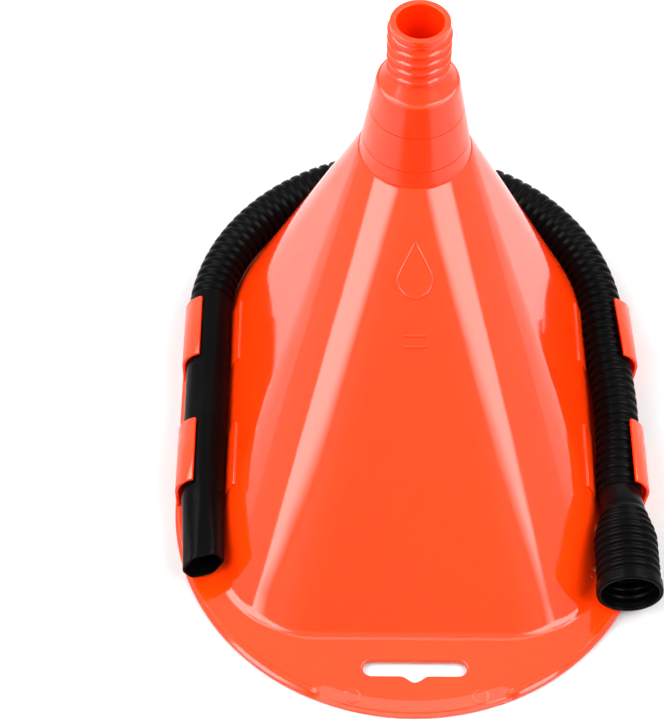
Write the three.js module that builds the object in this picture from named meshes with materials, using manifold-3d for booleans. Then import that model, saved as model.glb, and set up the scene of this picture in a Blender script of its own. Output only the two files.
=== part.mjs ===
// Offset oil funnel with a flexible filling hose clipped round it.
// Millimetres, +Z up. The funnel stands on its wide mouth with the spout on top.
// The wide end of the flange, with its hanging slot, points to -Y.
import * as THREE from "three";
import { mergeVertices } from "three/addons/utils/BufferGeometryUtils.js";
import Module from "manifold-3d";

// Driving dimensions.
const RIM_RADIUS = 80;              // the flange is a stadium, this wide at each half
const RIM_STRAIGHT = 74;            // distance between the stadium's two centres
const FLANGE_TOP = 2.8;
const FLANGE_THICKNESS = 1.8;
const LIP_THICKNESS = 1.5;          // the down-turned edge that the funnel stands on
const WALL_ACROSS = 2;              // bowl wall, measured level
const SPOUT_WALL = 1.5;
const BASE_HALF_WIDTH = 63;         // where the bowl meets the flange
const BASE_CORNER_RADIUS = 31.5;
const BASE_FRONT = 51.2;            // ahead of the front stadium centre
const COLLAR_Z = 103;
const COLLAR_RADIUS = 18.7;
const SHOULDER_Z = 134.6;
const SHOULDER_RADIUS = 13.2;
const TIP_Z = 159.5;
const TIP_RADIUS = 9.2;
const TIP_BORE_RADIUS = 7.7;
const THREAD_ROOT_RADIUS = 8.9;
const THREAD_CREST_RADIUS = 9.8;
const THREAD_PITCH = 4.4;
const THREAD_TURNS = 5;
const THREAD_LIFT = 0.8;            // plain length under the first turn
const THREAD_SHAPE = [0.3, 0.55, 0.85]; // crest start, crest end and foot of a turn, in pitches
const SLOT_LENGTH = 33;
const SLOT_WIDTH = 4.8;
const SLOT_AHEAD = 62.4;            // slot centre, ahead of the front stadium centre
const NOTCH_HALF_WIDTH = 3.9;
const NOTCH_DEPTH = 2.6;
const BAND_HALF_WIDTH = 32.5;       // sloping strip at the front of the edge
const BAND_WIDTH = 5.4;
const BAND_DROP = 1.7;
const SLOT_ROUND_STEPS = 8;
const HOSE_OFFSET = 70.6;           // hose centre line from the middle plane
const HOSE_Z = 10.7;
const HOSE_RADIUS = 7.6;
const HOSE_WALL = 1.2;
const NECK_RADIUS = 7.3;
const NOZZLE_TIP_RADIUS = 6.55;
const CUFF_RADIUS = 10.5;
const CUFF_LIP_RADIUS = 11;
const CUFF_BORE_RADIUS = 9.5;
const CUFF_AXIS_Z = 13.75;          // the cuff is fatter than the hose, so its axis lies higher
const CUFF_SHIFT = 0.4;             // and a little further out
const CUFF_FLARE = 6;               // length of the cone between the neck and the cuff
const CUFF_LIP_LENGTH = 3.4;
const CUFF_LIP_BEVEL = 0.5;
const CLIP_LENGTH = 25.5;
const CLIPS = [
  { place: "rear", side: "left", y: 28.4, lean: 0 },
  { place: "front", side: "left", y: -24.7, lean: 0 },
  { place: "rear", side: "right", y: 28.4, lean: 0 },
  { place: "front", side: "right", y: -24.7, lean: 4 }, // degrees, pushed out by the hose
];
const CLIP_INNER_RADIUS = 7.9;
const CLIP_WALL = 1.2;
const CLIP_MOUTH = 18.5 * Math.PI / 180; // the jaw stops this far short of the hose's top
const PAD_TOP = 10.5;
const GAP = 0.3;                    // between neighbouring solids
const MARGIN = 1;                   // how far a cutter runs past the face it cuts
const SPARE = 6;                    // length made too long, then cut off
const CUTTER = 60;                  // wider than any hose section
const RIM_STEPS = 36;
const BAND_SIDES = 144;
const SPOUT_SIDES = 56;
const TIP_SIDES = 40;
const CLIP_STEPS = 14;
const HOSE_SIDES = 24;
const BEND_SIDES = 12;
const BEND_STEPS = 48;
const CUFF_SIDES = 32;

const SPOUT_Y = RIM_STRAIGHT / 2;
const FRONT_Y = -RIM_STRAIGHT / 2;
const CORNER_Y = FRONT_Y - BASE_FRONT + BASE_CORNER_RADIUS;
const CORNER_X = BASE_HALF_WIDTH - BASE_CORNER_RADIUS;
const CLIP_FOOT_X = HOSE_OFFSET + CLIP_INNER_RADIUS + CLIP_WALL;
const CLIP_FOOT_Z = FLANGE_TOP + GAP;
const NOZZLE_START_Y = SPOUT_Y + 6.5;
const NOZZLE_TIP_Y = -66.5;
const NOZZLE_TAPER_Y = -36;
const NOZZLE_CUT = 18 * Math.PI / 180;
const CORRUGATION_END_Y = -38;
const NECK_END_Y = -46;
const CUFF_MOUTH_Y = -78.5;

const ORANGE = { color: 0xff5a28, roughness: 0.22, metalness: 0 };
const BLACK = { color: 0x141414, roughness: 0.45, metalness: 0 };

const wasm = await Module();
wasm.setup();

// --- Joining and cutting ---------------------------------------------------

function toSolid(geometry) {
  const plain = geometry.index ? geometry.toNonIndexed() : geometry.clone();
  for (const name of Object.keys(plain.attributes)) {
    if (name !== "position") plain.deleteAttribute(name);
  }
  const merged = mergeVertices(plain, 1e-4);
  const index = merged.index.array;
  const triangles = [];
  for (let i = 0; i < index.length; i += 3) {
    const [a, b, c] = [index[i], index[i + 1], index[i + 2]];
    if (a !== b && b !== c && c !== a) triangles.push(a, b, c);
  }
  return new wasm.Manifold(new wasm.Mesh({
    numProp: 3,
    vertProperties: merged.attributes.position.array,
    triVerts: Uint32Array.from(triangles),
  }));
}

function toGeometry(solid) {
  const mesh = solid.getMesh();
  const geometry = new THREE.BufferGeometry();
  geometry.setAttribute("position", new THREE.BufferAttribute(mesh.vertProperties, 3));
  geometry.setIndex(new THREE.BufferAttribute(mesh.triVerts, 1));
  const faceted = geometry.toNonIndexed();
  faceted.computeVertexNormals();
  return faceted;
}

// --- Outlines --------------------------------------------------------------

// Points round the bowl at one height. "up" runs from 0 at the flange to 1 at the collar, and
// "inset" moves the outline inwards. Every point is found from the direction its wall faces, so
// that flat walls stay flat between the rounded corners of the base and the round collar.
function bowlRing(up, inset, z) {
  const mix = THREE.MathUtils.lerp;
  const top = COLLAR_RADIUS - inset;
  const arcs = [
    { from: 0, to: 90, x: CORNER_X, y: CORNER_Y, r: BASE_CORNER_RADIUS - inset, steps: 14 },
    { from: 90, to: 270, x: 0, y: SPOUT_Y, r: BASE_HALF_WIDTH - inset, steps: 36 },
    { from: 270, to: 360, x: -CORNER_X, y: CORNER_Y, r: BASE_CORNER_RADIUS - inset, steps: 14 },
  ];
  const points = [];
  for (const arc of arcs) {
    for (let i = 0; i <= arc.steps; i += 1) {
      const angle = THREE.MathUtils.degToRad(mix(arc.from, arc.to, i / arc.steps));
      const radius = mix(arc.r, top, up);
      points.push(new THREE.Vector3(
        mix(arc.x, 0, up) + radius * Math.sin(angle),
        mix(arc.y, SPOUT_Y, up) - radius * Math.cos(angle),
        z,
      ));
    }
  }
  return points;
}

// A closed skin through a lower and an upper ring with the same number of points.
function loft(lower, upper) {
  const centre = (ring) => ring.reduce((sum, p) => sum.add(p), new THREE.Vector3())
    .divideScalar(ring.length);
  const low = centre(lower);
  const high = centre(upper);
  const corners = [];
  lower.forEach((a, i) => {
    const j = (i + 1) % lower.length;
    const b = lower[j];
    const c = upper[j];
    const d = upper[i];
    corners.push(a, b, c, a, c, d, low, b, a, high, d, c);
  });
  const kept = [];
  for (let i = 0; i < corners.length; i += 3) {
    const triangle = corners.slice(i, i + 3);
    const area = new THREE.Triangle(...triangle).getArea();
    if (area > 1e-7) kept.push(...triangle);
  }
  return new THREE.BufferGeometry().setFromPoints(kept);
}

function stadium(radius, straight) {
  const shape = new THREE.Shape();
  const half = straight / 2;
  shape.absarc(0, half, radius, 0, Math.PI, false);
  shape.absarc(0, -half, radius, Math.PI, 2 * Math.PI, false);
  shape.closePath();
  return new THREE.Shape(shape.extractPoints(RIM_STEPS).shape);
}

function plate(shape, low, high) {
  const geometry = new THREE.ExtrudeGeometry(shape, {
    depth: high - low, bevelEnabled: false, curveSegments: SLOT_ROUND_STEPS,
  });
  return toSolid(geometry.translate(0, 0, low));
}

// A closed profile of [radius, height] pairs turned about a vertical axis.
function turned(profile, sides) {
  const points = profile.map(([radius, height]) => new THREE.Vector2(radius, height));
  points.push(points[0].clone());
  const geometry = new THREE.LatheGeometry(points, sides).rotateX(Math.PI / 2);
  const solid = toSolid(geometry);
  return solid.volume() < 0 ? toSolid(flipped(geometry)) : solid;
}

function flipped(geometry) {
  const plain = geometry.toNonIndexed();
  const position = plain.attributes.position;
  for (let i = 0; i < position.count; i += 3) {
    const b = new THREE.Vector3().fromBufferAttribute(position, i + 1);
    const c = new THREE.Vector3().fromBufferAttribute(position, i + 2);
    position.setXYZ(i + 1, c.x, c.y, c.z);
    position.setXYZ(i + 2, b.x, b.y, b.z);
  }
  return plain;
}

// --- The funnel ------------------------------------------------------------

function hangingSlot() {
  const half = SLOT_WIDTH / 2;
  const reach = SLOT_LENGTH / 2 - half;
  const y = FRONT_Y - SLOT_AHEAD;
  const shape = new THREE.Shape();
  shape.absarc(reach, y, half, -Math.PI / 2, Math.PI / 2, false);
  shape.absarc(-reach, y, half, Math.PI / 2, 1.5 * Math.PI, false);
  shape.lineTo(-NOTCH_HALF_WIDTH, y - half);
  shape.bezierCurveTo(
    -NOTCH_HALF_WIDTH / 2, y - half,
    -NOTCH_HALF_WIDTH / 2, y - half - NOTCH_DEPTH,
    0, y - half - NOTCH_DEPTH,
  );
  shape.bezierCurveTo(
    NOTCH_HALF_WIDTH / 2, y - half - NOTCH_DEPTH,
    NOTCH_HALF_WIDTH / 2, y - half,
    NOTCH_HALF_WIDTH, y - half,
  );
  shape.closePath();
  return plate(shape, -MARGIN, FLANGE_TOP + MARGIN);
}

// The wedge of plastic missing above the sloping strip at the front of the edge.
function frontBandCut() {
  const outer = RIM_RADIUS + MARGIN;
  const inner = RIM_RADIUS - BAND_WIDTH;
  const above = FLANGE_TOP + MARGIN;
  const slope = BAND_DROP / BAND_WIDTH;
  const ring = turned([
    [inner, above], [inner, FLANGE_TOP], [outer, FLANGE_TOP - BAND_DROP - slope * MARGIN],
    [outer, above],
  ], BAND_SIDES).translate([0, FRONT_Y, 0]);
  const sector = new THREE.Shape([
    new THREE.Vector2(-BAND_HALF_WIDTH + BAND_WIDTH, FRONT_Y),
    new THREE.Vector2(BAND_HALF_WIDTH - BAND_WIDTH, FRONT_Y),
    new THREE.Vector2(BAND_HALF_WIDTH - BAND_WIDTH, FRONT_Y - inner + BAND_WIDTH),
    new THREE.Vector2(BAND_HALF_WIDTH + BAND_WIDTH, FRONT_Y - outer),
    new THREE.Vector2(-BAND_HALF_WIDTH - BAND_WIDTH, FRONT_Y - outer),
    new THREE.Vector2(-BAND_HALF_WIDTH + BAND_WIDTH, FRONT_Y - inner + BAND_WIDTH),
  ].reverse());
  return ring.intersect(plate(sector, 0, above + MARGIN));
}

function rimFlange() {
  const lipInside = stadium(RIM_RADIUS - LIP_THICKNESS, RIM_STRAIGHT);
  const outer = plate(stadium(RIM_RADIUS, RIM_STRAIGHT), 0, FLANGE_TOP);
  const underside = plate(lipInside, -MARGIN, FLANGE_TOP - FLANGE_THICKNESS);
  const mouth = toSolid(loft(
    bowlRing(0, WALL_ACROSS, -MARGIN),
    bowlRing(0, WALL_ACROSS, FLANGE_TOP + MARGIN),
  ));
  return outer.subtract(underside).subtract(mouth).subtract(hangingSlot()).subtract(frontBandCut());
}

function bowl() {
  const low = FLANGE_TOP + GAP;
  const outer = toSolid(loft(bowlRing(0, 0, low), bowlRing(1, 0, COLLAR_Z)));
  const beyond = MARGIN / (COLLAR_Z - low);
  const inner = toSolid(loft(
    bowlRing(-beyond, WALL_ACROSS, low - MARGIN),
    bowlRing(1 + beyond, WALL_ACROSS, COLLAR_Z + MARGIN),
  ));
  return outer.subtract(inner);
}

function spoutCone() {
  const low = COLLAR_Z + GAP;
  const shelf = SHOULDER_Z - SPOUT_WALL;
  return turned([
    [COLLAR_RADIUS, low],
    [SHOULDER_RADIUS, SHOULDER_Z],
    [TIP_BORE_RADIUS, SHOULDER_Z],
    [TIP_BORE_RADIUS, shelf],
    [SHOULDER_RADIUS - SPOUT_WALL, shelf],
    [COLLAR_RADIUS - SPOUT_WALL, low],
  ], SPOUT_SIDES).translate([0, SPOUT_Y, 0]);
}

function threadedTip() {
  const low = SHOULDER_Z + GAP;
  const profile = [[TIP_BORE_RADIUS, low], [THREAD_ROOT_RADIUS, low]];
  for (let turn = 0; turn < THREAD_TURNS; turn += 1) {
    const z = low + THREAD_LIFT + turn * THREAD_PITCH;
    const [crestStart, crestEnd, foot] = THREAD_SHAPE.map((part) => z + part * THREAD_PITCH);
    profile.push([THREAD_ROOT_RADIUS, z]);
    profile.push([THREAD_CREST_RADIUS, crestStart]);
    profile.push([THREAD_CREST_RADIUS, crestEnd]);
    profile.push([THREAD_ROOT_RADIUS, foot]);
  }
  profile.push([TIP_RADIUS, TIP_Z - MARGIN], [TIP_RADIUS, TIP_Z], [TIP_BORE_RADIUS, TIP_Z]);
  return turned(profile, TIP_SIDES).translate([0, SPOUT_Y, 0]);
}

// --- The hose clips --------------------------------------------------------

// Extrudes a section, drawn in X and Z for the right-hand side, along Y. "lean" turns it
// outwards about its foot, in degrees.
function clipSolid(shape, clip, lean = 0) {
  const geometry = new THREE.ExtrudeGeometry(shape, {
    depth: CLIP_LENGTH, bevelEnabled: false, curveSegments: CLIP_STEPS,
  });
  geometry.rotateX(Math.PI / 2);
  geometry.translate(-CLIP_FOOT_X, clip.y + CLIP_LENGTH / 2, -CLIP_FOOT_Z);
  geometry.rotateY(THREE.MathUtils.degToRad(lean));
  geometry.translate(CLIP_FOOT_X, 0, CLIP_FOOT_Z);
  const solid = toSolid(geometry);
  return clip.side === "right" ? solid : solid.mirror([1, 0, 0]);
}

// The springy outer wall, which rises from the flange's edge and curls over the hose.
function clipJaw(clip) {
  const end = Math.PI / 2 - CLIP_MOUTH;
  const shape = new THREE.Shape();
  shape.moveTo(CLIP_FOOT_X - CLIP_WALL, CLIP_FOOT_Z);
  shape.lineTo(CLIP_FOOT_X, CLIP_FOOT_Z);
  shape.absarc(HOSE_OFFSET, HOSE_Z, CLIP_INNER_RADIUS + CLIP_WALL, 0, end, false);
  shape.absarc(HOSE_OFFSET, HOSE_Z, CLIP_INNER_RADIUS, end, 0, true);
  shape.closePath();
  return clipSolid(shape, clip, clip.lean);
}

// The block that fills the space between the bowl's side wall and the hose.
function clipPad(clip) {
  const slope = (BASE_HALF_WIDTH - COLLAR_RADIUS) / (COLLAR_Z - CLIP_FOOT_Z);
  const wallX = (z) => BASE_HALF_WIDTH - (z - CLIP_FOOT_Z) * slope + 1.1 * GAP;
  const angleAt = (z) => Math.PI + Math.asin((HOSE_Z - z) / CLIP_INNER_RADIUS);
  const shape = new THREE.Shape();
  shape.absarc(
    HOSE_OFFSET, HOSE_Z, CLIP_INNER_RADIUS, angleAt(CLIP_FOOT_Z), angleAt(PAD_TOP), true,
  );
  shape.lineTo(wallX(PAD_TOP), PAD_TOP);
  shape.lineTo(wallX(CLIP_FOOT_Z), CLIP_FOOT_Z);
  shape.closePath();
  return clipSolid(shape, clip);
}

// --- The hose --------------------------------------------------------------

function ringSection(radius, sides) {
  const circle = (r) => {
    const points = [];
    for (let i = 0; i < sides; i += 1) {
      const angle = 2 * Math.PI * i / sides;
      points.push(new THREE.Vector2(r * Math.cos(angle), r * Math.sin(angle)));
    }
    return points;
  };
  const shape = new THREE.Shape(circle(radius));
  shape.holes.push(new THREE.Path(circle(radius - HOSE_WALL)));
  return shape;
}

// The hose's centre line round the back of the spout: an arc that starts on the left at
// "startY" and ends on the right, level with the spout.
class HoseArc extends THREE.Curve {
  constructor(startY) {
    super();
    this.sweep = Math.PI - Math.asin((startY - SPOUT_Y) / HOSE_OFFSET);
  }

  getPoint(t, target = new THREE.Vector3()) {
    const angle = this.sweep * (1 - t);
    const x = HOSE_OFFSET * Math.cos(angle);
    return target.set(x, SPOUT_Y + HOSE_OFFSET * Math.sin(angle), HOSE_Z);
  }
}

function hoseBend() {
  return toSolid(new THREE.ExtrudeGeometry(ringSection(HOSE_RADIUS, BEND_SIDES), {
    steps: BEND_STEPS, extrudePath: new HoseArc(NOZZLE_START_Y), bevelEnabled: false,
  }));
}

function hoseRun() {
  const length = SPOUT_Y - GAP - CORRUGATION_END_Y;
  const inner = HOSE_RADIUS - HOSE_WALL;
  const profile = [[inner, 0], [HOSE_RADIUS, 0], [HOSE_RADIUS, length], [inner, length]];
  return turned(profile, HOSE_SIDES)
    .rotate([90, 0, 0])
    .translate([HOSE_OFFSET, SPOUT_Y - GAP, HOSE_Z]);
}

// Smooth tapering nozzle, with its tip cut off at an angle.
function hoseNozzle() {
  const lean = HOSE_RADIUS * (NOZZLE_START_Y - SPOUT_Y) / HOSE_OFFSET;
  const start = NOZZLE_START_Y - GAP - lean;
  const beyond = NOZZLE_TIP_Y - SPARE;
  const profile = [
    [HOSE_RADIUS - HOSE_WALL, 0],
    [HOSE_RADIUS, 0],
    [HOSE_RADIUS, start - NOZZLE_TAPER_Y],
    [NOZZLE_TIP_RADIUS, start - beyond],
    [NOZZLE_TIP_RADIUS - HOSE_WALL, start - beyond],
    [HOSE_RADIUS - HOSE_WALL, start - NOZZLE_TAPER_Y],
  ];
  const tube = turned(profile, HOSE_SIDES)
    .rotate([90, 0, 0])
    .translate([-HOSE_OFFSET, start, HOSE_Z]);
  const knife = new THREE.BoxGeometry(CUTTER, CUTTER, CUTTER);
  knife.translate(0, -CUTTER / 2, 0);
  knife.rotateZ(NOZZLE_CUT);
  knife.translate(-HOSE_OFFSET, NOZZLE_TIP_Y, HOSE_Z);
  return tube.subtract(toSolid(knife));
}

// The short smooth neck climbs from the hose's centre line to the cuff's.
function hoseNeck() {
  const start = CORRUGATION_END_Y - GAP;
  const run = start - NECK_END_Y;
  const climb = Math.atan2(CUFF_AXIS_Z - HOSE_Z - 2 * GAP, run);
  const inner = NECK_RADIUS - HOSE_WALL;
  const length = run + 2 * SPARE;
  const profile = [[inner, 0], [NECK_RADIUS, 0], [NECK_RADIUS, length], [inner, length]];
  const tube = turned(profile, HOSE_SIDES)
    .translate([0, 0, -SPARE])
    .rotate([90 - THREE.MathUtils.radToDeg(climb), 0, 0])
    .translate([HOSE_OFFSET, start, HOSE_Z + GAP]);
  const slab = new THREE.BoxGeometry(CUTTER, run, CUTTER);
  slab.translate(HOSE_OFFSET, start - run / 2, HOSE_Z);
  return tube.intersect(toSolid(slab));
}

function hoseCuff() {
  const length = NECK_END_Y - GAP - CUFF_MOUTH_Y;
  const lip = length - CUFF_LIP_LENGTH;
  const profile = [
    [NECK_RADIUS - HOSE_WALL, 0],
    [NECK_RADIUS, 0],
    [CUFF_RADIUS, CUFF_FLARE],
    [CUFF_RADIUS, lip],
    [CUFF_LIP_RADIUS, lip + CUFF_LIP_BEVEL],
    [CUFF_LIP_RADIUS, length],
    [CUFF_BORE_RADIUS, length],
    [CUFF_BORE_RADIUS, CUFF_FLARE + HOSE_WALL],
  ];
  return turned(profile, CUFF_SIDES).rotate([90, 0, 0])
    .translate([HOSE_OFFSET + CUFF_SHIFT, NECK_END_Y - GAP, CUFF_AXIS_Z + GAP]);
}

// --- The whole object ------------------------------------------------------

const object = new THREE.Group();

function add(name, finish, solid) {
  const mesh = new THREE.Mesh(toGeometry(solid), new THREE.MeshStandardMaterial(finish));
  mesh.name = name;
  object.add(mesh);
}

add("rim_flange", ORANGE, rimFlange());
add("bowl", ORANGE, bowl());
add("spout_cone", ORANGE, spoutCone());
add("threaded_tip", ORANGE, threadedTip());
for (const clip of CLIPS) {
  add(`clip_jaw_${clip.place}_${clip.side}`, ORANGE, clipJaw(clip));
  add(`clip_pad_${clip.place}_${clip.side}`, ORANGE, clipPad(clip));
}
add("hose_nozzle", BLACK, hoseNozzle());
add("hose_bend", BLACK, hoseBend());
add("hose_run", BLACK, hoseRun());
add("hose_neck", BLACK, hoseNeck());
add("hose_cuff", BLACK, hoseCuff());

export default object;
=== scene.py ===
# Looks of an offset oil funnel with a flexible hose clipped round it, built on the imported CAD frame.
# Lengths are in millimetres until a mesh is made; the frame's +Z is up and -Y is the front.
import math

import bmesh
import bpy
import numpy as np
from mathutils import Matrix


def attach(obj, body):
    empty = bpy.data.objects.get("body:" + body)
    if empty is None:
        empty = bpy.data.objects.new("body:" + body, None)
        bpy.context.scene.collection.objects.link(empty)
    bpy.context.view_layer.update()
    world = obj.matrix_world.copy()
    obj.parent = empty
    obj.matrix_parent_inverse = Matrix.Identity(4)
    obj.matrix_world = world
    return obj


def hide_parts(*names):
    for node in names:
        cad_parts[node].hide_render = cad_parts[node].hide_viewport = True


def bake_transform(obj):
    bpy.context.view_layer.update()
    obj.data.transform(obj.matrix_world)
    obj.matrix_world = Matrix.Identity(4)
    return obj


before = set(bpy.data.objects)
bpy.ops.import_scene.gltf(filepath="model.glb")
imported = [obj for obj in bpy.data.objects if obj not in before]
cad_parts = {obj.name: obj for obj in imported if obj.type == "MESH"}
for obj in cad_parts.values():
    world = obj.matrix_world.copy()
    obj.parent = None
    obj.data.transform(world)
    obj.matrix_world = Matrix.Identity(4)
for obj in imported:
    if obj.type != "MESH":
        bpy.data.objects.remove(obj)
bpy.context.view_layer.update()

MM = 0.001
QUARTER = np.radians([0, 30, 60, 90])

# --- Driving dimensions -----------------------------------------------------

RIM_RADIUS = 80.0
SPOUT_Y = 37.0
FRONT_Y = -37.0
FLANGE_TOP = 2.8
FLANGE_UNDER = 1.0
LIP_THICKNESS = 1.5
EDGE_WIDTH = 1.15
EDGE_DEPTH = 1.05
BEAD_WIDTH = 2.6
BEAD_STEP = 0.14
BASE_HALF_WIDTH = 65.5
BASE_CORNER_X = 31.5
BASE_CORNER_RADIUS = 31.5
BASE_CORNER_TURN = math.radians(65)
BASE_FRONT = 51.2
WALL = 2.0
FRONT_FILLET = 6.0
SIDE_FILLET = 2.2
# The fillet shrinks from its front radius to its side radius between these turns, in radians.
FILLET_TURNS = (1.2, 1.57)
MOUTH_ROUND = 2.2
BOWL_LOW = 3.1
COLLAR_Z = 103.0
COLLAR_RADIUS = 18.7
COLLAR_STEP = 0.35
COLLAR_BAND = 0.9
MOULD_LINES = (109.3, 122.6)
MOULD_LINE_DEPTH = 0.35
SHOULDER_Z = 134.6
SHOULDER_RADIUS = 13.2
TIP_Z = 159.5
TIP_RADIUS = 9.5
TIP_BORE_RADIUS = 7.5
THREAD_ROOT = 8.95
THREAD_HEIGHT = 1.2
THREAD_PITCH = 3.9
THREAD_FRONT = 153.2
THREAD_LOW = 141.0
THREAD_HIGH = 157.2
THREAD_ROW = 0.13
SHELF_RISE = 4.8
SPOUT_WALL = 1.5
STRIP_HALF_WIDTH = 31.2
STRIP_WIDTH = 5.4
STRIP_DROP = 1.7
STRIP_END_FADE = 2.2
STRIP_END_SLANT = 0.65
SLOT_LENGTH = 33.8
SLOT_WIDTH = 5.6
SLOT_X = 0.8
SLOT_Y = FRONT_Y - 62.85
NOTCH_HALF_WIDTH = 4.7
NOTCH_DEPTH = 2.3
MARK_X = 20.7
MARK_SHIFT = 1.2
MARK_Y = -109.8
MARK_RADIUS = 2.4
MARK_RISE = 0.28
# Turns from the front, in degrees: the steps between the shell's columns and where they are fine.
COLUMN_STEP = 0.5
FINE_STEP = 0.22
STRIP_END_TURN = 24.3

HOSE_X = 70.6
HOSE_Z = 10.7
NOZZLE_TIP_Y = -66.5
NOZZLE_CUT = math.radians(18)
NOZZLE_RADIUS = 6.55
NOZZLE_BORE = 5.85
NOZZLE_LENGTH = 26.0
NOZZLE_SHAPE_END = 22.0
SMOOTH_RADIUS = 7.3
SMOOTH_END = 110.5
HOSE_RADIUS = 7.5
CORRUGATION_PITCH = 3.75
CORRUGATION_DEPTH = 0.95
CORRUGATION_PROUD = 0.12
NECK_START_Y = -38.0
HOSE_BORE = 6.1
HOSE_SIDES = 56
# Distances from the cuff's mouth: where the neck, the cuff's taper, its ribs and its lip start.
NECK_START = 41.0
CUFF_START = 34.0
RIBS_START = 32.0
LIP_START = 3.6
CUFF_TAPER = 13.5
CUFF_SWELL = 2.6
CUFF_BORE_SWELL = 2.75
RIB_PITCH = 2.93
RIB_PHASE = 32.86
RIB_DEPTH = 1.05
RIB_PROUD = 0.3
LIP_RADIUS = 11.0
MOUTH_RADIUS = 9.5
CUFF_MOUTH_Y = -78.5
CUFF_X = 71.0
CUFF_Z = 14.05

CLIP_LENGTH = 25.5
CLIP_INNER = 7.9
CLIP_WALL = 1.2
CLIP_MOUTH = math.radians(18.5)
# Each clip: its place, its middle along Y, and how far its jaw leans at its front and rear ends.
CLIPS = [("rear", "left", 28.4, 0.0, 0.0), ("front", "left", -24.7, 0.0, 0.0),
         ("rear", "right", 28.4, 6.0, 0.0), ("front", "right", -24.7, 7.0, 6.5)]
PAD_TOP = 16.3
PAD_PROUD = 0.65
PAD_BEVEL = 0.22
JAW_BEVEL = 0.28
# Heights of the cuts across a jaw.
JAW_CUTS = (4.0, 7.5)
# How far the clips' feet sink into the flange.
FOOT_SINK = 0.4

# How far a softbox's glow fades on either side of its outline, in metres.
SOFT_EDGE = 0.12


# --- Small tools ------------------------------------------------------------

def smooth(value, low, high):
    t = np.clip((np.asarray(value, float) - low) / (high - low), 0, 1)
    return t * t * (3 - 2 * t)


def mix(a, b, t):
    return a + (b - a) * t


def add_object(name, data):
    obj = bpy.data.objects.new(name, data)
    bpy.context.scene.collection.objects.link(obj)
    return obj


def finish_mesh(bm, name, material, sharp=35.0):
    bmesh.ops.recalc_face_normals(bm, faces=bm.faces)
    mesh = bpy.data.meshes.new(name)
    bm.to_mesh(mesh)
    bm.free()
    mesh.polygons.foreach_set("use_smooth", [True] * len(mesh.polygons))
    mesh.set_sharp_from_angle(angle=math.radians(sharp))
    mesh.materials.append(material)
    return add_object(name, mesh)


def join_rings(bm, rings, closed=False):
    """Faces from each ring of vertices to the next, then on to the first ring again or over both ends."""
    count = len(rings[0])
    for near, far in zip(rings, rings[1:] + rings[:1] if closed else rings[1:]):
        for i in range(count):
            j = (i + 1) % count
            bm.faces.new((near[i], near[j], far[j], far[i]))
    if not closed:
        bm.faces.new(list(reversed(rings[0])))
        bm.faces.new(rings[-1])


def torus_grid(rows):
    """A closed skin through rows of points, each row a ring and the rows a ring as well."""
    bm = bmesh.new()
    join_rings(bm, [[bm.verts.new(p) for p in row] for row in np.asarray(rows, float) * MM], closed=True)
    bmesh.ops.remove_doubles(bm, verts=bm.verts, dist=2e-6)
    bmesh.ops.dissolve_degenerate(bm, edges=bm.edges, dist=1e-7)
    return bm


def prism(outline, low, high, bevel, far_outline=None):
    """An outline of (x, z) points drawn out along Y from low to high, with rounded edges."""
    bm = bmesh.new()
    near = [bm.verts.new((x * MM, low * MM, z * MM)) for x, z in outline]
    far = [bm.verts.new((x * MM, high * MM, z * MM)) for x, z in far_outline or outline]
    join_rings(bm, [near, far])
    bmesh.ops.recalc_face_normals(bm, faces=bm.faces)
    edges = [e for e in bm.edges if e.calc_face_angle(0) > math.radians(30)]
    bmesh.ops.bevel(bm, geom=edges, offset=bevel * MM, segments=3, profile=0.5,
                    affect="EDGES", clamp_overlap=True)
    return bm


# --- The funnel shell -------------------------------------------------------

def bowl_columns():
    """For each column of the shell: the centre and radius of its base arc and its wall's direction."""
    corner_x = BASE_CORNER_X
    corner_y = FRONT_Y - BASE_FRONT + BASE_CORNER_RADIUS
    mark = math.degrees(math.atan2(MARK_X, FRONT_Y - MARK_Y))
    edge = math.degrees(math.atan2(corner_x, BASE_FRONT))
    # The columns stand closer together near the ring marks and near the ends of the front strip.
    turns = [0.0]
    while turns[-1] < edge - 0.3:
        near = min(abs(turns[-1] - mark) / 2.6, abs(turns[-1] - STRIP_END_TURN) / 2.5)
        turns.append(turns[-1] + (FINE_STEP if near < 1 else COLUMN_STEP))
    front = []
    for turn in turns:
        front.append((BASE_FRONT * math.tan(math.radians(turn)), corner_y, BASE_CORNER_RADIUS, 0.0))
    corner = [(corner_x, corner_y, BASE_CORNER_RADIUS, a) for a in np.linspace(0, BASE_CORNER_TURN, 25)]
    # Past the tight corner a wider arc leads into the straight side.
    turned = BASE_CORNER_TURN
    spread = BASE_HALF_WIDTH - corner_x - BASE_CORNER_RADIUS * math.sin(turned)
    wide = spread / (1 - math.sin(turned))
    wide_x = BASE_HALF_WIDTH - wide
    wide_y = corner_y + (wide - BASE_CORNER_RADIUS) * math.cos(turned)
    corner += [(wide_x, wide_y, wide, a) for a in np.linspace(turned, math.pi / 2, 15)[1:]]
    side = [(0.0, y, BASE_HALF_WIDTH, math.pi / 2) for y in np.linspace(wide_y, SPOUT_Y, 34)[1:]]
    back = [(0.0, SPOUT_Y, BASE_HALF_WIDTH, math.radians(a)) for a in np.linspace(90, 180, 31)[1:]]
    half = front + corner + side + back
    mirrored = [(-x, y, r, 2 * math.pi - a) for x, y, r, a in reversed(half[1:-1])]
    return np.array(half + mirrored).T


CX, CY, CR, THETA = bowl_columns()
OUT = np.stack([np.sin(THETA), -np.cos(THETA)])


def wall_ring(z, inset=0.0):
    """The bowl's wall at one height, moved inwards by inset."""
    up = (z - BOWL_LOW) / (COLLAR_Z - BOWL_LOW)
    radius = mix(CR, COLLAR_RADIUS, up) - inset
    x = mix(CX, 0.0, up) + radius * OUT[0]
    y = mix(CY, SPOUT_Y, up) + radius * OUT[1]
    return np.stack([x, y, np.broadcast_to(z, x.shape)], axis=1)


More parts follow.
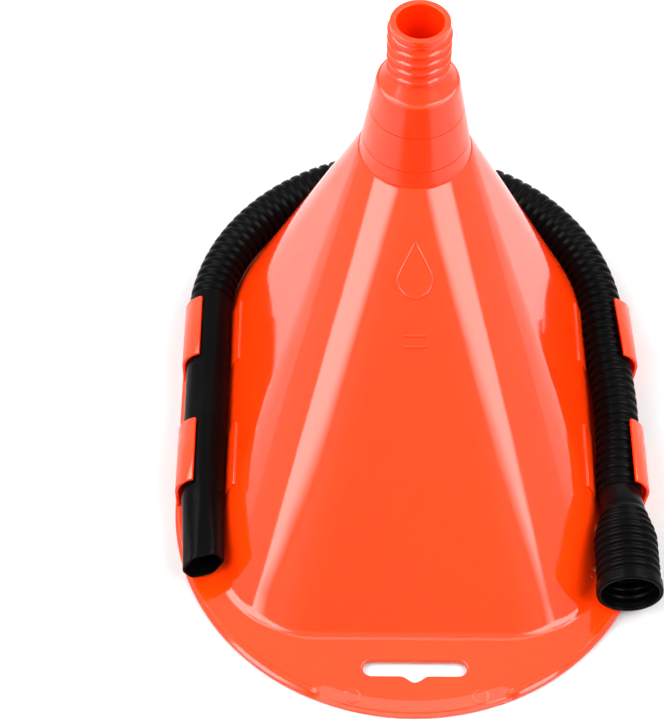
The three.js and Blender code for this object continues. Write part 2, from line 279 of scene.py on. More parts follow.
def spout_ring(radius, z):
    radius = np.broadcast_to(radius, THETA.shape)
    z = np.broadcast_to(z, THETA.shape)
    return np.stack([radius * OUT[0], SPOUT_Y + radius * OUT[1], z], axis=1)


FLANGE_LEVEL = FLANGE_TOP - BEAD_STEP
BASE = wall_ring(FLANGE_LEVEL)[:, :2]
TURN = np.minimum(THETA, 2 * math.pi - THETA)
FILLET = FRONT_FILLET + (SIDE_FILLET - FRONT_FILLET) * smooth(TURN, *FILLET_TURNS)
RIM_CENTRE = np.stack([np.zeros(len(CX)), np.clip(BASE[:, 1], FRONT_Y, SPOUT_Y)], axis=1)
RIM_OUT = (BASE - RIM_CENTRE) / np.linalg.norm(BASE - RIM_CENTRE, axis=1)[:, None]
RUN = ((BASE - np.stack([0 * CX, SPOUT_Y + 0 * CX], axis=1)) * OUT.T).sum(axis=1) - COLLAR_RADIUS
WALL_TILT = np.arctan2(COLLAR_Z - FLANGE_LEVEL, RUN)


def flange_height(x, y):
    """Height of the flange's upper face, with its edge bead and the strip that slopes down in front."""
    centre_y = np.clip(y, FRONT_Y, SPOUT_Y)
    inward = RIM_RADIUS - np.hypot(x, y - centre_y)
    plain = FLANGE_TOP - BEAD_STEP * smooth(inward, BEAD_WIDTH, BEAD_WIDTH + 0.35)
    past = STRIP_WIDTH - inward
    # The root rounds the fold where the strip starts.
    rounded = 0.5 * (past + np.sqrt(past * past + 0.12)) - 0.03
    strip = FLANGE_LEVEL - STRIP_DROP / STRIP_WIDTH * np.clip(rounded, 0, None)
    half_width = STRIP_HALF_WIDTH + STRIP_END_SLANT * (STRIP_WIDTH / 2 - inward)
    beyond = smooth(np.abs(x), half_width - STRIP_END_FADE, half_width + STRIP_END_FADE)
    return mix(plain, np.minimum(strip, plain), (1 - beyond) * (y < 0))


def rim_points(inward, z):
    xy = RIM_CENTRE + (RIM_RADIUS - inward)[:, None] * RIM_OUT
    return np.column_stack([xy, z])


def rim_rows():
    """From the lip's inner foot, round its edge, up the outer wall and its slanted edge to the flange."""
    ones = np.ones(len(CX))
    inner, outer = 0.25, 0.3
    rows = []
    for a in QUARTER:
        inward = LIP_THICKNESS - inner + inner * math.cos(a)
        rows.append(rim_points(ones * inward, ones * (inner - inner * math.sin(a))))
    for a in QUARTER[::-1]:
        rows.append(rim_points(ones * (outer - outer * math.cos(a)), ones * (outer - outer * math.sin(a))))
    spot = rim_points(EDGE_WIDTH * ones, ones)
    top = flange_height(spot[:, 0], spot[:, 1])
    # Where the front strip slopes down, the slanted edge gets shallower.
    depth = np.clip(top - 0.9, 0.15, EDGE_DEPTH)
    profile = ((0.0, 1.12), (0.05, 1.0), (0.16, 0.9), (0.5, 0.62),
               (0.8, 0.36), (0.98, 0.22), (1.06, 0.12), (1.12, 0.03))
    for inward, drop in profile:
        rows.append(rim_points(ones * inward * EDGE_WIDTH, top - drop * depth))
    return rows, 1.2 * EDGE_WIDTH


def fillet_start():
    return BASE + OUT.T * (FILLET * np.tan(WALL_TILT / 2))[:, None]


def flange_rows(edge):
    outer = RIM_CENTRE + (RIM_RADIUS - edge) * RIM_OUT
    inner = fillet_start()
    fine = np.linspace(0, 0.36, 40)[1:]
    coarse = np.linspace(0.36, 1, 9)[1:]
    rows = []
    for t in np.concatenate([fine, coarse]):
        xy = mix(outer, inner, t)
        rows.append(np.column_stack([xy, flange_height(xy[:, 0], xy[:, 1])]))
    return rows


def fillet_rows():
    start = fillet_start()
    rows = []
    for t in np.linspace(0, 1, 12)[1:]:
        a = WALL_TILT * t
        xy = start - OUT.T * (FILLET * np.sin(a))[:, None]
        rows.append(np.column_stack([xy, FLANGE_LEVEL + FILLET * (1 - np.cos(a))]))
    return rows


def bowl_rows():
    low = FLANGE_LEVEL + FILLET * (1 - np.cos(WALL_TILT))
    high = COLLAR_Z - COLLAR_BAND
    heights = [mix(low, high, t) for t in np.linspace(0, 1, 22)[1:]]
    heights += [high + COLLAR_BAND * t for t in np.linspace(0, 1, 5)[1:]]
    return [wall_ring(z) for z in heights]


def helix(z):
    """Radius of the threaded tip at a height, for every column: each turn slopes above and is steep below."""
    turn = (z - THREAD_FRONT) / THREAD_PITCH - (THETA + math.pi) / (2 * math.pi) + 0.5
    part = turn - np.floor(turn)
    flank = np.clip((0.72 - part) / 0.6, 0, 1) ** 2.3
    ridge = np.maximum(flank, smooth(part, 0.87, 0.99))
    fade = smooth(z, THREAD_LOW - 1.2, THREAD_LOW - 0.2)
    fade = fade * (1 - smooth(z, THREAD_HIGH - 0.9, THREAD_HIGH + 0.6))
    mouth = (TIP_RADIUS - THREAD_ROOT) * smooth(z, THREAD_HIGH - 0.3, THREAD_HIGH + 0.7)
    return THREAD_ROOT + THREAD_HEIGHT * ridge * fade + mouth


def spout_rows():
    """Up the outside of the spout: collar step, cone with its mould lines, shoulder, shelf and thread."""
    low = COLLAR_RADIUS - COLLAR_STEP
    taper = (low - SHOULDER_RADIUS) / (SHOULDER_Z - COLLAR_Z)

    def cone(z):
        return low - taper * (z - COLLAR_Z)

    # A fine step where the bowl's mould met the spout's.
    rows = [spout_ring(COLLAR_RADIUS - 0.02, COLLAR_Z + 0.05),
            spout_ring(COLLAR_RADIUS - COLLAR_STEP - 0.1, COLLAR_Z + 0.12)]
    groove = ((-0.45, 0), (-0.2, 0), (-0.19, 1), (0.14, 1), (0.15, 0), (0.45, 0))
    for z in MOULD_LINES:
        for offset, share in groove:
            rows.append(spout_ring(cone(z + offset) - share * MOULD_LINE_DEPTH, z + offset))
    for z in (103.5, 104.5, 111.5, 114, 117, 124.5, 127, 130, 132.5, SHOULDER_Z - 1.0):
        rows.append(spout_ring(cone(z), z))
    rows.sort(key=lambda row: row[0, 2])
    edge = 0.5
    for a in np.radians([0, 22.5, 45, 67.5, 90]):
        radius = SHOULDER_RADIUS - edge + edge * math.cos(a)
        rows.append(spout_ring(radius, SHOULDER_Z - edge + edge * math.sin(a)))
    # The shelf behind the shoulder's edge is a short steep cone up to the foot of the threaded part.
    for t in np.linspace(0, 1, 9):
        radius = mix(SHOULDER_RADIUS - 0.7, THREAD_ROOT, t)
        rows.append(spout_ring(radius, SHOULDER_Z + 0.05 + SHELF_RISE * t))
    for z in np.arange(SHOULDER_Z + SHELF_RISE + 0.3, TIP_Z - 0.5, THREAD_ROW):
        rows.append(spout_ring(helix(z), z))
    return rows


def tip_rows():
    outer, inner = 0.35, 0.3
    rows = []
    for a in QUARTER:
        rows.append(spout_ring(TIP_RADIUS - outer + outer * math.cos(a), TIP_Z - outer + outer * math.sin(a)))
    for a in QUARTER[::-1]:
        radius = TIP_BORE_RADIUS + inner - inner * math.cos(a)
        rows.append(spout_ring(radius, TIP_Z - inner + inner * math.sin(a)))
    return rows


def flat_row(xy, z):
    return np.column_stack([xy, np.full(len(xy), z)])


def inner_rows():
    """Down the inside: the tip's bore, the shelf, the cone, the bowl and the underside of the flange."""
    rows = [spout_ring(TIP_BORE_RADIUS, z) for z in np.linspace(TIP_Z - 1, SHOULDER_Z - 0.6, 8)]
    shelf = SHOULDER_Z - SPOUT_WALL
    small, large = 0.6, 1.2
    for a in QUARTER:
        radius = TIP_BORE_RADIUS + small * (1 - math.cos(a))
        rows.append(spout_ring(radius, shelf + small * (1 - math.sin(a))))
    top = SHOULDER_RADIUS - SPOUT_WALL
    for a in QUARTER:
        rows.append(spout_ring(top - large + large * math.sin(a), shelf - large + large * math.cos(a)))
    for t in np.linspace(0, 1, 7)[1:]:
        rows.append(spout_ring(mix(top, COLLAR_RADIUS - WALL, t), mix(shelf - large, COLLAR_Z, t)))
    low = FLANGE_UNDER + MOUTH_ROUND
    for t in np.linspace(0, 1, 21)[1:]:
        rows.append(wall_ring(mix(COLLAR_Z, low, t), WALL))
    # The wide mouth's rounded edge, down to the underside of the flange.
    foot = wall_ring(low, WALL)[:, :2]
    for a in QUARTER[1:]:
        xy = foot + OUT.T * (MOUTH_ROUND * (1 - math.cos(a)))
        rows.append(flat_row(xy, low - MOUTH_ROUND * math.sin(a)))
    lip = rim_points(np.full(len(CX), LIP_THICKNESS), np.full(len(CX), 0.0))[:, :2]
    mouth = foot + OUT.T * MOUTH_ROUND
    for t in np.linspace(0, 1, 8)[1:-1]:
        rows.append(flat_row(mix(mouth, lip, t), FLANGE_UNDER))
    corner = 0.3
    for a in np.radians([90, 45, 0]):
        xy = lip - RIM_OUT * (corner * (1 - math.cos(math.pi / 2 - a)))
        rows.append(flat_row(xy, FLANGE_UNDER - corner * (1 - math.sin(a))))
    return rows


def slot_outline(grow):
    """The hanging slot: a long slot with a bell-shaped notch, made larger all round by grow."""
    half = SLOT_WIDTH / 2 + grow
    reach = (SLOT_LENGTH - SLOT_WIDTH) / 2
    points = []
    for a in np.radians(np.linspace(-90, 90, 17)):
        points.append((SLOT_X + reach + half * math.cos(a), SLOT_Y + half * math.sin(a)))
    for a in np.radians(np.linspace(90, 270, 17)):
        points.append((SLOT_X - reach + half * math.cos(a), SLOT_Y + half * math.sin(a)))
    width = NOTCH_HALF_WIDTH + grow
    for t in np.linspace(-1, 1, 25):
        bell = 0.5 + 0.5 * math.cos(math.pi * t)
        points.append((SLOT_X + width * t, SLOT_Y - half - NOTCH_DEPTH * bell))
    return points


def slot_cutter(material):
    """A solid in the shape of the slot, flared at the top to round the slot's upper edge."""
    radius = 0.7
    levels = [(0.0, -1.0), (0.0, FLANGE_LEVEL - radius)]
    for a in np.radians([15, 30, 45, 60, 75, 88]):
        levels.append((radius * (1 - math.cos(a)), FLANGE_LEVEL - radius + radius * math.sin(a)))
    levels.append((radius + 0.3, FLANGE_LEVEL + 1.0))
    bm = bmesh.new()
    rings = [[bm.verts.new((x * MM, y * MM, z * MM)) for x, y in slot_outline(grow)] for grow, z in levels]
    join_rings(bm, rings)
    return finish_mesh(bm, "slot_cutter", material)


def cut_away(obj, cutter):
    modifier = obj.modifiers.new("cut", "BOOLEAN")
    modifier.operation = "DIFFERENCE"
    modifier.solver = "EXACT"
    modifier.object = cutter
    evaluated = obj.evaluated_get(bpy.context.evaluated_depsgraph_get())
    mesh = bpy.data.meshes.new_from_object(evaluated)
    obj.modifiers.remove(modifier)
    old = obj.data
    obj.data = mesh
    bpy.data.meshes.remove(old)
    spare = cutter.data
    bpy.data.objects.remove(cutter)
    bpy.data.meshes.remove(spare)


def funnel_shell(material):
    rim, edge = rim_rows()
    rows = rim + flange_rows(edge) + fillet_rows() + bowl_rows() + spout_rows() + tip_rows() + inner_rows()
    shell = finish_mesh(torus_grid(rows), "funnel_shell", material, 40)
    cut_away(shell, slot_cutter(material))
    mesh = shell.data
    mesh.polygons.foreach_set("use_smooth", [True] * len(mesh.polygons))
    mesh.set_sharp_from_angle(angle=math.radians(40))
    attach(shell, "funnel")
    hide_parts("rim_flange", "bowl", "spout_cone", "threaded_tip")


# --- Clips ------------------------------------------------------------------

def wall_x(z):
    """Half width of the bowl's side wall at a height."""
    return mix(BASE_HALF_WIDTH, COLLAR_RADIUS, (z - BOWL_LOW) / (COLLAR_Z - BOWL_LOW))


def clip_pad(place, side, y, material):
    """A thin rib on the bowl's wall, hollowed where the hose lies against it."""
    sign = 1 if side == "right" else -1
    seat = CLIP_INNER - 0.1
    points = []
    foot = FLANGE_LEVEL - FOOT_SINK
    for z in np.linspace(PAD_TOP, foot, 26):
        x = wall_x(z) + PAD_PROUD
        reach = seat ** 2 - (HOSE_Z - z) ** 2
        if reach > 0:
            x = min(x, HOSE_X - math.sqrt(reach))
        points.append((max(x, wall_x(z) + 0.06), z))
    points.append((wall_x(FLANGE_LEVEL) - 1.2, foot))
    points.append((wall_x(PAD_TOP) - 0.8, PAD_TOP))
    half = CLIP_LENGTH / 2
    bm = prism([(sign * x, z) for x, z in points], y - half, y + half, PAD_BEVEL)
    pad = finish_mesh(bm, f"pad_{place}_{side}", material, 40)
    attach(pad, "funnel")
    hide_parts(f"clip_pad_{place}_{side}")


def jaw_outline(sign, lean):
    """The jaw's section: an upright foot and a hook over the hose, leaning outwards from its foot."""
    foot_x = HOSE_X + CLIP_INNER + CLIP_WALL
    end = math.pi / 2 - CLIP_MOUTH
    outer = CLIP_INNER + CLIP_WALL
    points = [(foot_x - CLIP_WALL - 0.25, FLANGE_TOP - FOOT_SINK), (foot_x, FLANGE_TOP - FOOT_SINK)]
    for a in np.linspace(0, end, 22):
        points.append((HOSE_X + outer * math.cos(a), HOSE_Z + outer * math.sin(a)))
    for a in np.linspace(end, 0, 22):
        points.append((HOSE_X + CLIP_INNER * math.cos(a), HOSE_Z + CLIP_INNER * math.sin(a)))
    points.append((foot_x - CLIP_WALL, 6.0))
    turn = math.radians(lean)
    outline = []
    for x, z in points:
        dx, dz = x - foot_x, z - BOWL_LOW
        across = foot_x + dx * math.cos(turn) + dz * math.sin(turn)
        outline.append((sign * across, BOWL_LOW - dx * math.sin(turn) + dz * math.cos(turn)))
    return outline


def clip_jaw(place, side, y, lean_front, lean_rear, material):
    sign = 1 if side == "right" else -1
    half = CLIP_LENGTH / 2
    bm = prism(jaw_outline(sign, lean_front), y - half, y + half, JAW_BEVEL, jaw_outline(sign, lean_rear))
    for level in JAW_CUTS:
        bmesh.ops.bisect_plane(bm, geom=bm.verts[:] + bm.edges[:] + bm.faces[:], dist=1e-7,
                               plane_co=(0, 0, level * MM), plane_no=(0, 0, 1))
    name = f"clip_jaw_{place}_{side}"
    jaw = finish_mesh(bm, f"jaw_{place}_{side}", material, 40)
    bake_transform(jaw)
    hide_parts(name)


# --- Hose -------------------------------------------------------------------

class HosePath:
    """Centre line of the hose from the nozzle's tip, round the back of the spout, to the cuff's mouth."""

    def __init__(self):
        points = []
        # The left run leans inwards a little towards the nozzle's tip.
        for y in np.arange(NOZZLE_TIP_Y, SPOUT_Y, 0.25):
            drift = 0.5 * smooth(-y, 28, 42) + 1.2 * smooth(-y, 36, 68) - 0.5 * smooth(y, 20, SPOUT_Y)
            points.append((-HOSE_X + drift, y, HOSE_Z))
        # The bend behind the spout is a little narrower on the right.
        left, right, deep = HOSE_X + 0.5, HOSE_X - 1.1, HOSE_X + 0.4
        for a in np.radians(np.arange(180, 0, -0.25)):
            reach = left if a > math.pi / 2 else right
            points.append((reach * math.cos(a), SPOUT_Y + deep * math.sin(a), HOSE_Z))
        # The right run bows outwards between the clips and climbs to the cuff, which rests on the flange.
        for y in np.arange(SPOUT_Y, CUFF_MOUTH_Y - 0.01, -0.25):
            climb = smooth(-y, -NECK_START_Y - 1, -NECK_START_Y + 10)
            bow = -1.1 + 2.2 * smooth(-y, -SPOUT_Y, 2.0) - 1.1 * smooth(-y, 12.0, 36.0)
            points.append((mix(HOSE_X + bow, CUFF_X, climb), y, mix(HOSE_Z, CUFF_Z, climb)))
        self.points = np.array(points)
        steps = np.linalg.norm(np.diff(self.points, axis=0), axis=1)
        self.along = np.concatenate([[0], np.cumsum(steps)])
        self.length = self.along[-1]

    def at(self, s):
        place = np.array([np.interp(s, self.along, self.points[:, k]) for k in range(3)])
        ahead = np.array([np.interp(s + 0.6, self.along, self.points[:, k]) for k in range(3)])
        behind = np.array([np.interp(s - 0.6, self.along, self.points[:, k]) for k in range(3)])
        tangent = (ahead - behind) / np.linalg.norm(ahead - behind)
        side = np.cross(tangent, (0, 0, 1.0))
        side /= np.linalg.norm(side)
        return place, side, np.cross(side, tangent)


def ridge(phase, flat):
    """Rounded rings a phase of 1 apart, from 0 in the groove to 1 on the crest."""
    near = abs(phase - round(phase)) * 2
    return float(1 - smooth(near, flat, 1.0))


def hose_radius(s, length):
    """Outer radius of the hose at a distance from the nozzle's tip."""
    left = length - s
    if s < SMOOTH_END:
        widening = 0.2 * float(smooth(s, NOZZLE_LENGTH, 50))
        return mix(NOZZLE_RADIUS, SMOOTH_RADIUS, min(s / NOZZLE_LENGTH, 1.0)) + widening
    if left > NECK_START:
        rise = float(smooth(s, SMOOTH_END, SMOOTH_END + 2))
        groove = 1 - ridge((s - SMOOTH_END) / CORRUGATION_PITCH, 0.42)
        fade = float(smooth(left, NECK_START, NECK_START + 1.5))
        return HOSE_RADIUS + CORRUGATION_PROUD * rise - CORRUGATION_DEPTH * groove * rise * fade
    if left > CUFF_START:
        return SMOOTH_RADIUS
    if left > LIP_START:
        body = SMOOTH_RADIUS + CUFF_SWELL * float(smooth(CUFF_START - left, 0, CUFF_TAPER))
        # Behind the taper the cuff goes on widening a little towards its mouth.
        body += 0.35 * float(smooth(27 - left, 0, 8))
        ribbed = float(smooth(RIBS_START - left, 0, 2.5))
        groove = 1 - ridge((RIB_PHASE - left) / RIB_PITCH, 0.15)
        return body + (RIB_PROUD - RIB_DEPTH * groove) * ribbed
    return LIP_RADIUS


def hose_inner_radius(s, length):
    """Radius of the bore, which is ribbed inside the cuff and flares at its mouth."""
    left = length - s
    body = mix(NOZZLE_BORE, HOSE_BORE, min(s / NOZZLE_LENGTH, 1.0))
    body += CUFF_BORE_SWELL * float(smooth(33.0 - left, 0, CUFF_TAPER))
    wave = ridge((RIB_PHASE - left) / RIB_PITCH, 0.2)
    wave *= float(smooth(left, 1.5, 3.5)) * float(smooth(21 - left, 0, 3))
    flare = 0.65 * (1 - float(smooth(left, 0, 3.2)))
    return body + 0.55 * wave + flare


def hose_section(path, s, radius):
    """One ring of the hose. Near the nozzle's tip it is slightly hexagonal and follows the slanting cut."""
    place, side, up = path.at(s)
    angles = np.linspace(0, 2 * math.pi, HOSE_SIDES, endpoint=False)
    tip_share = 1 - float(smooth(s, 0, NOZZLE_SHAPE_END))
    hexagon = 1 + 0.038 * tip_share * np.cos(6 * angles + 0.5)
    ring = place[None, :] + radius * hexagon[:, None] * (
        np.cos(angles)[:, None] * side[None, :] + np.sin(angles)[:, None] * up[None, :])
    shear = math.tan(NOZZLE_CUT) * tip_share
    ring[:, 1] += shear * (ring[:, 0] - place[0])
    return ring


def spans(*pieces):
    """Distances along the hose: (start, stop, step) for each stretch in turn."""
    return np.concatenate([np.arange(*piece) for piece in pieces])


def hose(material):
    path = HosePath()
    length = path.length
    outer = spans((0.4, 40, 1.0), (40, SMOOTH_END, 3.0), (SMOOTH_END, length - 40.5, CORRUGATION_PITCH / 12),
                  (length - 40.5, length - 32, 0.7), (length - 32, length - 0.6, 0.24))
    inner = spans((length - 0.8, length - 27, -0.3), (length - 27, length - 42, -1.0),
                  (length - 42, 44, -4.0), (44, 0.4, -1.5))
    rows = []
    # The cut end's rounded outer edge, the outside, the mouth's rounded edges, the inside, the cut end again.
    for a in QUARTER[::-1]:
        radius = hose_radius(0.4, length) - 0.4 * (1 - math.cos(a))
        rows.append(hose_section(path, 0.4 - 0.4 * math.sin(a), radius))
    for s in outer[1:]:
        rows.append(hose_section(path, s, hose_radius(s, length)))
    for a in QUARTER:
        radius = LIP_RADIUS - 0.6 + 0.6 * math.cos(a)
        rows.append(hose_section(path, length - 0.6 + 0.6 * math.sin(a), radius))
    for a in QUARTER[::-1]:
        radius = MOUTH_RADIUS + 0.4 - 0.4 * math.cos(a)
        rows.append(hose_section(path, length - 0.4 + 0.4 * math.sin(a), radius))
    for s in inner:
        rows.append(hose_section(path, s, hose_inner_radius(s, length)))
    for a in QUARTER[:3]:
        radius = hose_inner_radius(0.3, length) + 0.3 * (1 - math.cos(a))
        rows.append(hose_section(path, 0.3 - 0.3 * math.sin(a), radius))
    tube = finish_mesh(torus_grid(rows), "hose", material, 50)
    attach(tube, "hose")
    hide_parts("hose_nozzle", "hose_bend", "hose_run", "hose_neck", "hose_cuff")


# --- Raised marks on the front face ----------------------------------------

def front_face_frame():
    """A place on the bowl's flat front face, with directions across, up and out of it."""
    low = wall_ring(BOWL_LOW)[0]
    high = wall_ring(COLLAR_Z)[0]
    up = (high - low) / np.linalg.norm(high - low)
    across = np.array([1.0, 0, 0])
    return low, across, up, np.cross(across, up)


def raised_line(points, closed, width, height):
    """A low rounded rib along a line of (across, up) points on the front face."""
    low, across, up, out = front_face_frame()
    points = np.asarray(points, float)
    if closed:
        ahead, behind = np.roll(points, -1, 0), np.roll(points, 1, 0)
    else:
        ahead = np.vstack([points[1:], points[-1:]])
        behind = np.vstack([points[:1], points[:-1]])
    tangent = ahead - behind
    tangent /= np.linalg.norm(tangent, axis=1)[:, None]
    normal = np.stack([tangent[:, 1], -tangent[:, 0]], axis=1)
    arch = [(-0.5 * math.cos(a), math.sin(a)) for a in np.linspace(0, math.pi, 9)]
    section = [(-0.5, -0.4), *arch, (0.5, -0.4)]
    bm = bmesh.new()
    rings = []
    for p, n in zip(points, normal):
        ring = []
        for offset, lift in section:
            q = p + n * width * offset
            place = low + across * q[0] + up * q[1] + out * (height * lift)
            ring.append(bm.verts.new(place * MM))
        rings.append(ring)
    join_rings(bm, rings, closed)
    return bm


def drop_outline():
    """A plain drop: a round bottom drawn up to a point."""
    radius, height, base = 5.6, 18.0, 111.0
    lean = math.asin(radius / (height - radius))
    points = []
    for a in np.linspace(-math.pi - lean, lean, 40):
        points.append((radius * math.cos(a), base + radius + radius * math.sin(a)))
    end = np.array(points[-1])
    tip = np.array([0.0, base + height])
    for t in np.linspace(0, 1, 9)[1:-1]:
        points.append(tuple(mix(end, tip, t)))
    points.append(tuple(tip))
    for t in np.linspace(0, 1, 9)[1:-1]:
        points.append(tuple(mix(tip, end * (-1, 1), t)))
    return points


def ring_marks(material):
    """Two fine raised rings, left by the mould's ejector pins, on the front of the flange."""
    section = [(-0.34, -0.4), (-0.3, 0.0), (-0.14, 0.1), (0.14, 0.1), (0.3, 0.0), (0.34, -0.4)]
    bm = bmesh.new()
    for middle in (MARK_SHIFT - MARK_X, MARK_SHIFT + MARK_X):
        rings = []
        for a in np.linspace(0, 2 * math.pi, 48, endpoint=False):
            ring = []
            for offset, lift in section:
                x = middle + (MARK_RADIUS + offset) * math.cos(a)
                y = MARK_Y + (MARK_RADIUS + offset) * math.sin(a)
                ring.append(bm.verts.new((x * MM, y * MM, (float(flange_height(x, y)) + lift) * MM)))
            rings.append(ring)
        join_rings(bm, rings, closed=True)
    marks = finish_mesh(bm, "ring_marks", material, 50)
    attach(marks, "funnel")


def raised_marks(material):
    """A drop's outline and two short bars on the front face, all in one mesh."""
    first = raised_line(drop_outline(), True, 0.8, MARK_RISE)
    for place in (95.2, 98.8):
        bar = raised_line([(x, place) for x in np.linspace(-3.8, 3.8, 12)], False, 1.1, MARK_RISE)
        mesh = bpy.data.meshes.new("spare")
        bar.to_mesh(mesh)
        bar.free()
        first.from_mesh(mesh)
        bpy.data.meshes.remove(mesh)
    marks = finish_mesh(first, "raised_marks", material, 50)
    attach(marks, "funnel")


# --- Materials --------------------------------------------------------------

class Nodes:
    """Short names for building a material's node tree."""

    def __init__(self, name):
        self.material = bpy.data.materials.new(name)
        self.material.use_nodes = True
        self.tree = self.material.node_tree
        self.shader = self.tree.nodes["Principled BSDF"]
        self.place = self.tree.nodes.new("ShaderNodeTexCoord").outputs["Object"]

    def noise(self, scale, detail=3.0, roughness=0.5):
        node = self.tree.nodes.new("ShaderNodeTexNoise")
        node.inputs["Scale"].default_value = scale
        node.inputs["Detail"].default_value = detail
        node.inputs["Roughness"].default_value = roughness
        self.tree.links.new(self.place, node.inputs["Vector"])
        return node.outputs["Fac"]

    def spread(self, source, low, high, start=0.3, stop=0.7):
        node = self.tree.nodes.new("ShaderNodeMapRange")
        node.inputs["From Min"].default_value = start
        node.inputs["From Max"].default_value = stop
        node.inputs["To Min"].default_value = low
        node.inputs["To Max"].default_value = high
        self.tree.links.new(source, node.inputs["Value"])
        return node.outputs["Result"]

    def blend(self, amount, first, second):
        node = self.tree.nodes.new("ShaderNodeMix")
        node.data_type = "RGBA"
        node.inputs["A"].default_value = (*first, 1)
        node.inputs["B"].default_value = (*second, 1)
        self.tree.links.new(amount, node.inputs["Factor"])
        return node.outputs["Result"]

    def add(self, first, second):
        node = self.tree.nodes.new("ShaderNodeMath")
        self.tree.links.new(first, node.inputs[0])
        self.tree.links.new(second, node.inputs[1])
        return node.outputs["Value"]

    def bump(self, height, strength, distance, under=None):
        node = self.tree.nodes.new("ShaderNodeBump")
        node.inputs["Strength"].default_value = strength
        node.inputs["Distance"].default_value = distance
        self.tree.links.new(height, node.inputs["Height"])
        if under is not None:
            self.tree.links.new(under, node.inputs["Normal"])
        return node.outputs["Normal"]

    def set(self, socket, value):
        target = self.shader.inputs[socket]
        if hasattr(value, "is_linked"):
            self.tree.links.new(value, target)
        else:
            target.default_value = value


def orange_polypropylene():
    n = Nodes("orange_polypropylene")
    flow = n.noise(9.0, 4.0, 0.55)
    n.set("Base Color", n.blend(n.spread(flow, 0.0, 1.0), (0.80, 0.030, 0.0008), (0.85, 0.035, 0.0012)))
    # The spout came from a duller part of the mould than the polished bowl.
    height = n.tree.nodes.new("ShaderNodeSeparateXYZ")
    n.tree.links.new(n.place, height.inputs["Vector"])
    duller = n.add(n.spread(height.outputs["Z"], 0.0, 0.13, COLLAR_Z * MM, (COLLAR_Z + 0.4) * MM),
                   n.spread(height.outputs["Z"], 0.0, -0.11, (SHOULDER_Z + 3) * MM, (SHOULDER_Z + 5) * MM))
    n.set("Roughness", n.add(n.spread(n.noise(60.0, 4.0, 0.6), 0.05, 0.085), duller))
    waves = n.bump(n.noise(22.0, 2.0), 0.25, 0.0006)
    n.set("Normal", n.bump(n.noise(900.0, 3.0), 0.05, 0.0001, waves))
    n.set("IOR", 1.49)
    n.set("Subsurface Weight", 0.35)
    n.set("Subsurface Radius", (0.007, 0.0015, 0.0003))
    n.set("Subsurface Scale", 1.0)
    return n.material


def black_polyethylene():
    n = Nodes("black_polyethylene")
    cloud = n.spread(n.noise(40.0, 5.0, 0.6), 0.0, 1.0)
    n.set("Base Color", n.blend(cloud, (0.0010, 0.0010, 0.0011), (0.0022, 0.0022, 0.0023)))
    n.set("Roughness", n.spread(n.noise(150.0, 5.0, 0.65), 0.17, 0.27))
    n.set("Specular IOR Level", 0.033)
    coarse = n.bump(n.noise(260.0, 4.0), 0.3, 0.0002)
    n.set("Normal", n.bump(n.noise(1500.0, 3.0), 0.15, 0.00008, coarse))
    n.set("IOR", 1.5)
    return n.material


def floor_material():
    n = Nodes("pale_floor")
    n.set("Base Color", n.blend(n.noise(3.0), (0.44, 0.44, 0.44), (0.46, 0.46, 0.46)))
    n.set("Roughness", 0.9)
    n.set("Specular IOR Level", 0.1)
    return n.material


# --- Studio -----------------------------------------------------------------

def floor():
    bm = bmesh.new()
    bmesh.ops.create_grid(bm, x_segments=8, y_segments=8, size=6.0)
    mesh = bpy.data.meshes.new("floor")
    bm.to_mesh(mesh)
    bm.free()
    mesh.materials.append(floor_material())
    obj = add_object("floor", mesh)


def camera():
    """The photo's view, solved from the rim's outline and the circles of the spout."""
    data = bpy.data.cameras.new("camera")
    data.lens = 114.545
    data.sensor_width = 36.0
    data.clip_end = 50.0
    obj = add_object("camera", data)
    obj.location = (-0.02346, -0.4687, 0.65631)
    obj.rotation_euler = (math.radians(37.081), 0, math.radians(0.411))
    bpy.context.scene.camera = obj


def softbox(name, corners, radiance):
    """A glowing panel at 1 m, fading out across its edge, which the camera itself doesn't see."""
    corners = np.array(corners)
    inward = corners.mean(axis=0) - corners
    inward *= SOFT_EDGE / np.linalg.norm(inward, axis=1)[:, None]
    count = len(corners)
    points = [(x, y, 1.0) for x, y in np.vstack([corners + inward, corners - inward])]
    faces = [list(range(count))]
    faces += [[i, (i + 1) % count, count + (i + 1) % count, count + i] for i in range(count)]
    mesh = bpy.data.meshes.new(name)
    mesh.from_pydata(points, [], faces)
    glow = mesh.attributes.new("glow", "FLOAT", "POINT")
    glow.data.foreach_set("value", [1.0] * count + [0.0] * count)
    material = bpy.data.materials.new(name)
    material.use_nodes = True
    tree = material.node_tree
    source = tree.nodes.new("ShaderNodeAttribute")
    source.attribute_name = "glow"
    strength = tree.nodes.new("ShaderNodeMath")
    strength.operation = "MULTIPLY"
    strength.inputs[1].default_value = radiance
    shader = tree.nodes["Principled BSDF"]
    shader.inputs["Base Color"].default_value = (0, 0, 0, 1)
    shader.inputs["Specular IOR Level"].default_value = 0
    shader.inputs["Emission Color"].default_value = (1, 1, 1, 1)
    tree.links.new(source.outputs["Fac"], strength.inputs[0])
    tree.links.new(strength.outputs["Value"], shader.inputs["Emission Strength"])
    mesh.materials.append(material)
    panel = add_object(name, mesh)
    panel.visible_camera = False


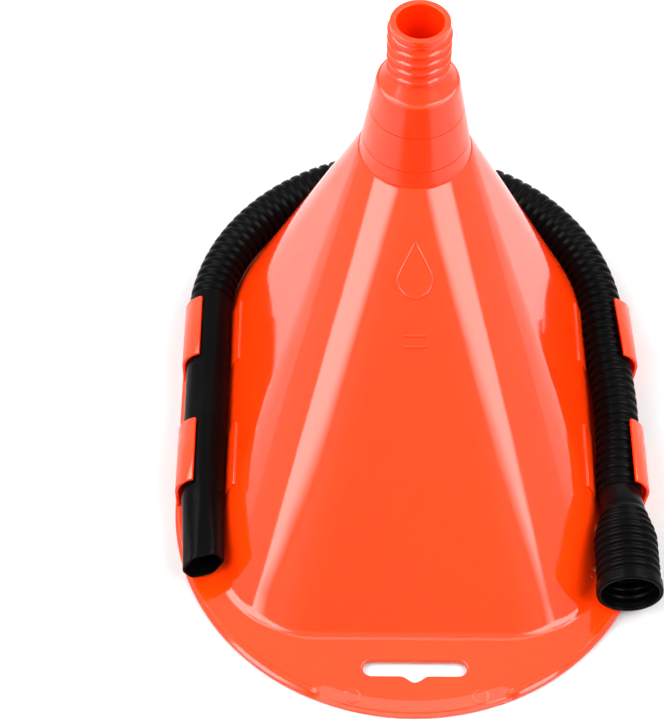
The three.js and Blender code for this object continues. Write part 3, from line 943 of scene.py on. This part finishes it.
def dark_card():
    """A black card on the floor in front, seen only in the gloss of the plastic."""
    mesh = bpy.data.meshes.new("dark_card")
    corners = [(-0.10, -0.122, 0.001), (0.10, -0.122, 0.001), (0.45, -1.0, 0.001), (-0.45, -1.0, 0.001)]
    mesh.from_pydata(corners, [], [(0, 1, 2, 3)])
    n = Nodes("dark_card")
    n.set("Base Color", (0.01, 0.01, 0.01, 1))
    n.set("Specular IOR Level", 0.0)
    mesh.materials.append(n.material)
    card = add_object("dark_card", mesh)
    card.visible_camera = False
    card.visible_diffuse = False
    card.visible_shadow = False


def studio():
    world = bpy.data.worlds.new("studio")
    world.use_nodes = True
    tree = world.node_tree
    background = tree.nodes["Background"]
    # The room is darker in front of the funnel than behind it.
    place = tree.nodes.new("ShaderNodeTexCoord")
    split = tree.nodes.new("ShaderNodeSeparateXYZ")
    shade = tree.nodes.new("ShaderNodeMapRange")
    shade.inputs["From Min"].default_value = -0.80
    shade.inputs["From Max"].default_value = -0.62
    shade.inputs["To Min"].default_value = 0.55
    shade.inputs["To Max"].default_value = 1.1
    tree.links.new(place.outputs["Generated"], split.inputs["Vector"])
    tree.links.new(split.outputs["Y"], shade.inputs["Value"])
    tree.links.new(shade.outputs["Result"], background.inputs["Strength"])
    background.inputs["Color"].default_value = (1.0, 1.0, 1.0, 1.0)
    bpy.context.scene.world = world
    # The panels' outlines give the bright strips and edges that run down the bowl.
    softbox("softbox_left", [(-0.4, -0.66), (-0.6, -0.76), (-0.96, -0.945), (-1.73, -1.07), (-2.3, -1.10),
                             (-2.1, -0.85), (-1.85, -0.66), (-1.62, -0.48), (-1.55, -0.30), (-1.75, 0.75),
                             (-0.4, 0.6)], 8.8)
    softbox("softbox_right", [(0.38, -0.82), (0.82, -1.005), (1.24, -1.165), (1.36, -1.21), (1.43, -1.15),
                              (1.40, -0.85), (1.27, -0.65), (1.28, -0.30), (1.70, 0.75), (0.4, 0.6)], 8.3)
    softbox("softbox_top", [(-0.5, -0.36), (0.5, -0.36), (0.5, -0.04), (-0.5, -0.04)], 2.8)
    dark_card()


floor()
camera()
studio()
bpy.context.scene.view_settings.view_transform = "Standard"
orange = orange_polypropylene()
black = black_polyethylene()
funnel_shell(orange)
for place, side, y, lean_front, lean_rear in CLIPS:
    clip_pad(place, side, y, orange)
    clip_jaw(place, side, y, lean_front, lean_rear, orange)
hose(black)
raised_marks(orange)
ring_marks(orange)

bpy.context.view_layer.update()
